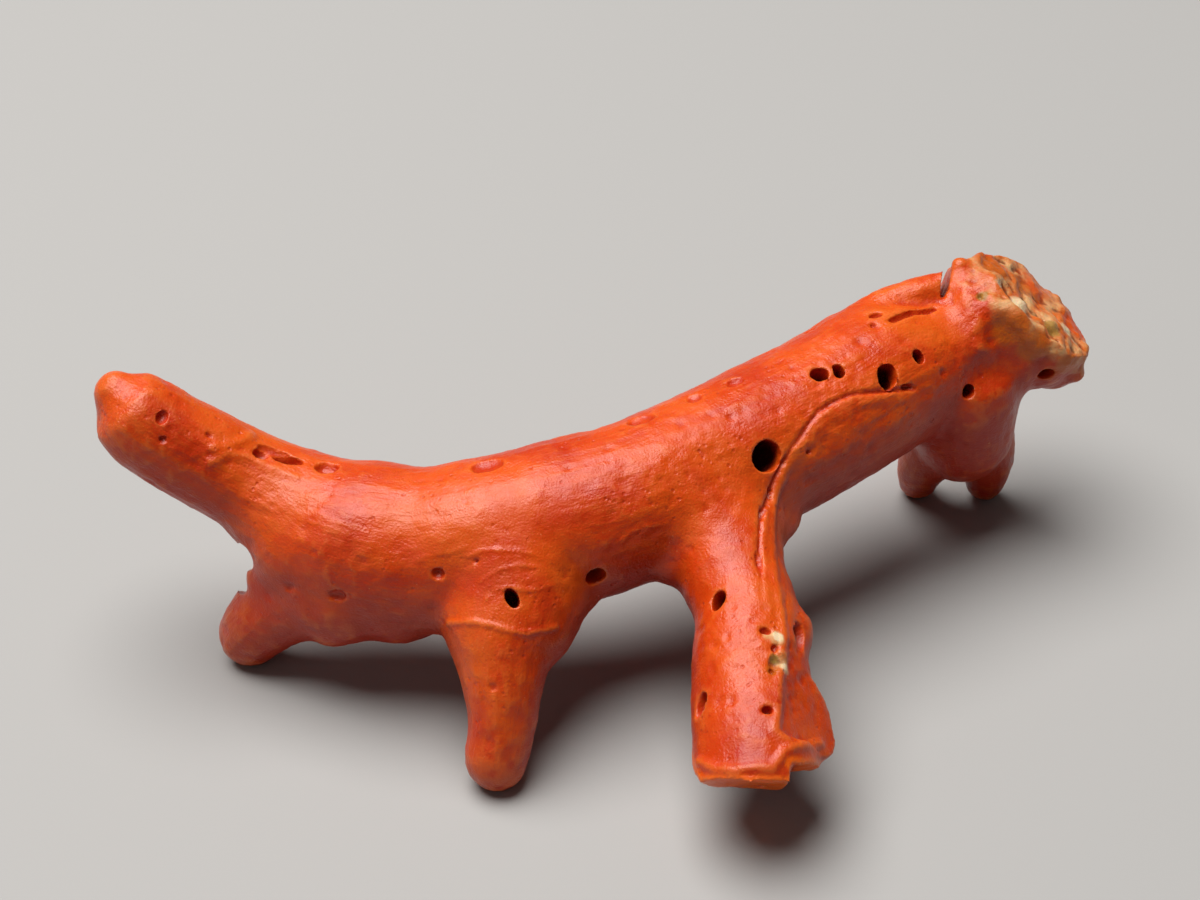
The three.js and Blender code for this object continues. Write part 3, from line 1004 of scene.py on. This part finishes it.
# Soft dabs of other tones on the broken head and the stub's crater: places and reaches.
# The amber dabs under the brow of the head, in front, are painted shade.
DABS = {
    "pale_dab": [
        ((21.6, 9.3, 14.0), 0.7), ((20.4, 9.6, 14.9), 0.5), ((24.4, 10.1, 11.8), 0.6),
        ((24.0, 9.9, 12.3), 0.55), ((24.6, 9.6, 11.2), 0.5), ((8.8, -11.6, 7.8), 0.45),
        ((8.4, -10.2, 8.5), 0.35),
    ],
    "olive_dab": [
        ((23.3, 8.9, 12.7), 0.75), ((19.6, 8.8, 14.8), 0.45), ((8.2, -11.3, 8.1), 0.35),
    ],
    "amber_and_shade_dab": [
        ((21.0, 7.6, 13.7), 1.4), ((22.2, 7.5, 12.7), 1.2), ((24.2, 7.9, 11.2), 1.0),
        ((20.5, 11.4, 15.1), 1.4), ((22.3, 11.8, 14.0), 1.3), ((8.1, -11.9, 7.9), 0.5),
    ],
}

points = skin_points(coral)
depth = gaps_to(point_tree(whole_skin), points)
flow, sureness = straighten(points, FLOW_LIMBS)
painted_backlight = 1 - gaps_to(break_tree(END_BREAKS), points) / BACKLIGHT_REACH
keep(coral, "crust", crust_weights(points))
keep(coral, "depth", np.clip(depth - SHADE_STARTS, 0, 1))
keep(coral, "lift", np.clip(0.5 + 0.5 * edge_height(coral, SOFTENING_STEPS) / EDGE_HEIGHT, 0, 1))
keep(coral, "sureness", sureness)
keep(coral, "flow", flow, "FLOAT_VECTOR")
keep(coral, "upward", read_vertices(coral, "normal")[:, 2])
keep(coral, "painted_backlight", np.clip(BACKLIGHT_EDGE * painted_backlight, 0, 1))
for name, dabs in DABS.items():
    keep(coral, name, np.max([closeness(points, *dab) for dab in dabs], axis=0))
print("deep points:", int((depth > 0.5).sum()))

# %% Bring the branch down to metres
only(coral)
coral.location = -MM * MIDDLE
coral.scale = (MM, MM, MM)
bpy.ops.object.transform_apply(location=True, rotation=True, scale=True)
bpy.ops.object.shade_smooth()
print("size, mm:", [round(1000 * v, 2) for v in coral.dimensions])

# %% [markdown]
# ## The coral's finish
#
# Precious coral is a dense chalk coloured through and through, polished to a waxy gloss. The
# colour is an orange red that goes deeper in patches, and paler on raised edges, partly from
# wear and partly as a painted highlight. Painted shade darkens the underside, the creases, the
# pits and the borings, a painted backlight brightens the stub's broken end, and fine pale specks
# are painted glints. Light goes a little way in, which the subsurface of the shader gives. The
# gloss is uneven: rubbed parts shine and pocked parts are dull. The crust is dry, pale and
# rough, with painted shade in its pits. All patterns read object coordinates or the attributes
# kept on the mesh.

# %% Small helpers for nodes
def feed(tree, socket, value):
    """Give a socket a plain value, or join it to the socket that the value comes from."""
    if isinstance(value, bpy.types.NodeSocket):
        tree.links.new(value, socket)
    else:
        socket.default_value = value


def add_node(tree, kind, name, values=None, **settings):
    """One named node with its settings and the values of its sockets."""
    node = tree.nodes.new(kind)
    node.name = node.label = name
    for key, value in settings.items():
        setattr(node, key, value)
    for key, value in (values or {}).items():
        feed(tree, node.inputs[key], value)
    return node


def noise_of(tree, name, place, size_mm, detail=3.0, rough=0.55, distortion=0.0):
    """Noise from nought to one whose features are about a size in millimetres."""
    values = {
        "Vector": place, "Scale": 1.0 / size_mm, "Detail": detail, "Roughness": rough,
        "Distortion": distortion,
    }
    node = add_node(tree, "ShaderNodeTexNoise", name, values)
    return node.outputs["Fac"]


def ramp(tree, name, value, low, high, start=0.0, end=1.0):
    """A value between low and high, brought to a new range and kept in it."""
    values = {"Value": value, "From Min": low, "From Max": high, "To Min": start, "To Max": end}
    node = add_node(tree, "ShaderNodeMapRange", name, values)
    return node.outputs["Result"]


def mix_colour(tree, name, share, first, second):
    """The first colour, with a share of the second laid over it."""
    node = add_node(tree, "ShaderNodeMix", name, data_type="RGBA")
    for index, value in ((0, share), (6, first), (7, second)):
        feed(tree, node.inputs[index], value)
    return node.outputs[2]


def tinted(tree, name, colour, tone, value, *limits):
    """A colour with a tone laid over it, as much as a ramp of the value says."""
    share = ramp(tree, name + "_share", value, *limits)
    return mix_colour(tree, name, share, colour, tone)


def sums(tree, name, operation, first, second):
    """Two values put together by one operation."""
    node = add_node(tree, "ShaderNodeMath", name, {0: first, 1: second}, operation=operation)
    return node.outputs[0]


def moved(tree, name, place, scale):
    """A place, stretched by a scale along each of its axes."""
    node = add_node(tree, "ShaderNodeMapping", name, {"Vector": place, "Scale": scale})
    return node.outputs["Vector"]


def kept(tree, name, output="Fac"):
    """An attribute kept on the mesh."""
    node = add_node(
        tree, "ShaderNodeAttribute", name, attribute_name=name, attribute_type="GEOMETRY"
    )
    return node.outputs[output]


# %% Colours of the coral
CORAL_RED = (0.60, 0.056, 0.0025, 1)
# A deeper red of the coral, also used as painted shade in creases and tiny pits.
DEEP_RED = (0.44, 0.020, 0.001, 1)
ORANGE_RED = (0.66, 0.110, 0.006, 1)
# Painted shade for the underside.
UNDERSIDE_SHADE_RED = (0.34, 0.009, 0.0008, 1)
# Painted backlight for the stub's broken end.
BACKLIT_ORANGE = (0.80, 0.115, 0.003, 1)
# Partly wear, partly a painted highlight on raised edges.
WORN_AND_LIT_EDGE = (0.70, 0.16, 0.025, 1)
# Painted shade inside the borings.
BORING_SHADE = (0.05, 0.004, 0.001, 1)
CRUST_CREAM = (0.62, 0.34, 0.15, 1)
CRUST_OCHRE = (0.55, 0.15, 0.025, 1)
# Painted shade in the crust's pits.
CRUST_PIT_SHADE = (0.16, 0.04, 0.01, 1)
# Painted glints.
PAINTED_GLINT = (0.75, 0.35, 0.16, 1)
DAB_COLOURS = {
    "amber_and_shade_dab": (0.46, 0.095, 0.006, 1),
    "olive_dab": (0.30, 0.16, 0.03, 1),
    "pale_dab": (0.74, 0.58, 0.36, 1),
}

# %% Colour of the waxy skin
TO_MM = (1000, 1000, 1000)
STREAK_SCALE = (1, 1, 0.13)
PIT_SPACING = 0.3

finish = bpy.data.materials.new("waxy_coral")
finish.use_nodes = True
tree = finish.node_tree
tree.nodes.clear()
object_place = add_node(tree, "ShaderNodeTexCoord", "object_place").outputs["Object"]
place = moved(tree, "place_mm", object_place, TO_MM)
flow_place = moved(tree, "flow_mm", kept(tree, "flow", "Vector"), STREAK_SCALE)

patches = noise_of(tree, "patches", place, 4.5, distortion=0.4)
mottle = noise_of(tree, "mottle", place, 0.8)
streaks = noise_of(tree, "streaks", flow_place, 0.45, rough=0.6)
colour = tinted(tree, "deep_patches", DEEP_RED, CORAL_RED, patches, 0.30, 0.55)
colour = tinted(tree, "orange_patches", colour, ORANGE_RED, patches, 0.50, 0.75, 0, 0.65)
colour = tinted(tree, "mottled", colour, ORANGE_RED, mottle, 0.45, 0.8, 0, 0.35)
share = ramp(tree, "streak_mask", streaks, 0.5, 0.75, 0, 0.45)
share = sums(tree, "streak_share", "MULTIPLY", share, kept(tree, "sureness"))
colour = mix_colour(tree, "streaked", share, colour, ORANGE_RED)
# Painted shade: the more the skin faces down, the darker red it is painted, up to three quarters.
colour = tinted(tree, "painted_underside_shade", colour, UNDERSIDE_SHADE_RED, kept(tree, "upward"), 0.45, -0.4, 0, 0.75)
# Painted backlight: the stub's broken end is made a brighter orange, as if lit through.
colour = tinted(tree, "painted_backlight_ends", colour, BACKLIT_ORANGE, kept(tree, "painted_backlight"), 0.2, 0.8, 0, 0.85)
lift = kept(tree, "lift")
# Raised edges are made paler, partly as wear and partly as a painted highlight.
colour = tinted(tree, "worn_and_lit_edges", colour, WORN_AND_LIT_EDGE, lift, 0.75, 1.0, 0, 0.35)
# Painted shade: hollows and creases of the skin are made deeper red.
colour = tinted(tree, "painted_crease_shade", colour, DEEP_RED, lift, 0.35, 0.0, 0, 0.7)
# Painted shade: the deeper inside a boring, the nearer to black its colour.
colour = tinted(tree, "painted_boring_shade", colour, BORING_SHADE, kept(tree, "depth"), 0.05, 0.7, 0, 0.9)
# Painted glints: fine pale specks scattered over the skin.
specks = noise_of(tree, "specks", place, 0.14, detail=1, rough=0.4)
colour = tinted(tree, "painted_glints", colour, PAINTED_GLINT, specks, 0.76, 0.82, 0, 0.3)
print("coral colour mixed")

# %% Tiny pits
pit_values = {"Vector": place, "Scale": 1 / PIT_SPACING}
pit_cells = add_node(tree, "ShaderNodeTexVoronoi", "pit_cells", pit_values)
pit_clusters = noise_of(tree, "pit_clusters", place, 1.8, detail=2)
pit_field = ramp(tree, "pit_field", pit_clusters, 0.45, 0.65)
pit_choice = ramp(tree, "pit_choice", pit_cells.outputs["Color"], 0.52, 0.72)
pit_shape = ramp(tree, "pit_shape", pit_cells.outputs["Distance"], 0.42, 0.15)
pits = sums(tree, "pits", "MULTIPLY", pit_shape, pit_field)
pits = sums(tree, "chosen_pits", "MULTIPLY", pits, pit_choice)
half_pits = sums(tree, "half_pits", "MULTIPLY", pits, 0.5)
# Painted shade: the tiny pits are made up to half way to deeper red.
colour = mix_colour(tree, "painted_pit_shade", half_pits, colour, DEEP_RED)
print("pits chosen")

# %% Colour of the crust
crust = kept(tree, "crust")
crust_patches = noise_of(tree, "crust_patches", place, 1.3, detail=4, rough=0.6)
crust_colour = tinted(tree, "crust_tones", CRUST_OCHRE, CRUST_CREAM, crust_patches, 0.44, 0.62)
# Painted shade: the hollows of the crust are made dark.
crust_colour = tinted(tree, "crust_pits", crust_colour, CRUST_PIT_SHADE, lift, 0.40, 0.05, 0, 0.85)
broken_up = ramp(tree, "crust_break_up", crust_patches, 0.28, 0.55, 0.25, 1)
crust_share = sums(tree, "crust_share", "MULTIPLY", crust, broken_up)
colour = mix_colour(tree, "crusted", crust_share, colour, crust_colour)
# The amber dabs are partly painted shade, in the hollow under the head's brow, and partly amber
# tone.
for name, dab_colour in DAB_COLOURS.items():
    edge = ramp(tree, name + "_edge", crust_patches, 0.3, 0.6, 0.5, 1.5)
    ragged_dab = sums(tree, name + "_ragged", "MULTIPLY", kept(tree, name), edge)
    colour = tinted(tree, name + "_tone", colour, dab_colour, ragged_dab, 0.12, 0.65, 0, 0.85)
print("crust colour mixed")

# %% Gloss and fine bump
# How far red, green and blue light goes into the coral, in millimetres.
WAX_DEPTH = (1.4, 0.25, 0.08)
BUMP_HEIGHT = 0.0001

rubbed = noise_of(tree, "rubbed", place, 1.6, detail=4, rough=0.6)
roughness = ramp(tree, "wax_roughness", rubbed, 0.35, 0.7, 0.3, 0.5)
dry_crust = ramp(tree, "dry_crust", crust_share, 0.1, 0.7, 0, 0.5)
roughness = sums(tree, "crust_roughness", "MAXIMUM", roughness, dry_crust)
fine = noise_of(tree, "fine_grain", place, 0.12, detail=2, rough=0.5)
height = sums(tree, "line_height", "MULTIPLY", streaks, kept(tree, "sureness"))
fine_part = sums(tree, "fine_part", "MULTIPLY", fine, 0.4)
height = sums(tree, "fine_height", "ADD", fine_part, height)
height = sums(tree, "pitted_height", "SUBTRACT", height, half_pits)
bump_values = {"Height": height, "Strength": 0.8, "Distance": BUMP_HEIGHT}
bump = add_node(tree, "ShaderNodeBump", "fine_relief", bump_values)
shader = add_node(
    tree, "ShaderNodeBsdfPrincipled", "waxy_coral",
    {
        "Base Color": colour, "Roughness": roughness, "Normal": bump.outputs["Normal"],
        "Specular IOR Level": 0.32,
        "Subsurface Weight": 0.15, "Subsurface Radius": WAX_DEPTH, "Subsurface Scale": MM,
        "Coat Weight": 0.1, "Coat Roughness": 0.18,
    },
)
add_node(tree, "ShaderNodeOutputMaterial", "surface", {"Surface": shader.outputs["BSDF"]})
coral.data.materials.clear()
coral.data.materials.append(finish)
print("finish of the coral:", len(tree.nodes), "nodes")

# %% [markdown]
# ## Floor and light
#
# The floor is a plain pale sheet. The light is one large soft box above and a little behind,
# as over a table by a window, with a weak fill from the front left, so the top gleams and the
# undersides stay deep red.

# %% Floor
FLOOR_HALF = 3.0
FLOOR_TONE = (0.36, 0.355, 0.35, 1)
FLOOR_ROUGHNESS = 0.75

bpy.ops.object.select_all(action="DESELECT")
bpy.ops.mesh.primitive_plane_add(size=2 * FLOOR_HALF, location=(0, 0, 0))
floor = bpy.context.object
floor.name = "floor"
paper = bpy.data.materials.new("pale_paper")
paper.use_nodes = True
paper_shader = paper.node_tree.nodes["Principled BSDF"]
paper_shader.inputs["Base Color"].default_value = FLOOR_TONE
paper_shader.inputs["Roughness"].default_value = FLOOR_ROUGHNESS
floor.data.materials.append(paper)
print("floor:", 2 * FLOOR_HALF, "m wide")

# %% Lights
# Each is its place, its size across, its power and its tone, and it shines at the branch.
LIGHTS = {
    "soft_box": ((-0.10, 0.06, 0.42), 0.40, 3.5, (1.0, 0.98, 0.95)),
    "front_fill": ((-0.45, -0.40, 0.30), 0.40, 0.18, (1.0, 0.98, 0.96)),
}
SKY_TONE = (1.0, 0.98, 0.96, 1)
SKY_LIGHT = 0.065

for name, (at, width, power, tone) in LIGHTS.items():
    turn = (-Vector(at)).to_track_quat("-Z", "Y").to_euler()
    bpy.ops.object.light_add(type="AREA", location=at, rotation=turn)
    lamp = bpy.context.object
    lamp.name = name
    lamp.data.shape = "DISK"
    lamp.data.size = width
    lamp.data.energy = power
    lamp.data.color = tone

world = bpy.data.worlds.new("studio")
world.use_nodes = True
sky = world.node_tree.nodes["Background"]
sky.inputs["Color"].default_value = SKY_TONE
sky.inputs["Strength"].default_value = SKY_LIGHT
bpy.context.scene.world = world
bpy.context.scene.view_settings.view_transform = "Standard"
print("lights:", list(LIGHTS))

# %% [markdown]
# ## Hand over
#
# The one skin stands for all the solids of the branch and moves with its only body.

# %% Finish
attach(coral, "root")
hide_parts(*NODES)

bpy.context.view_layer.update()
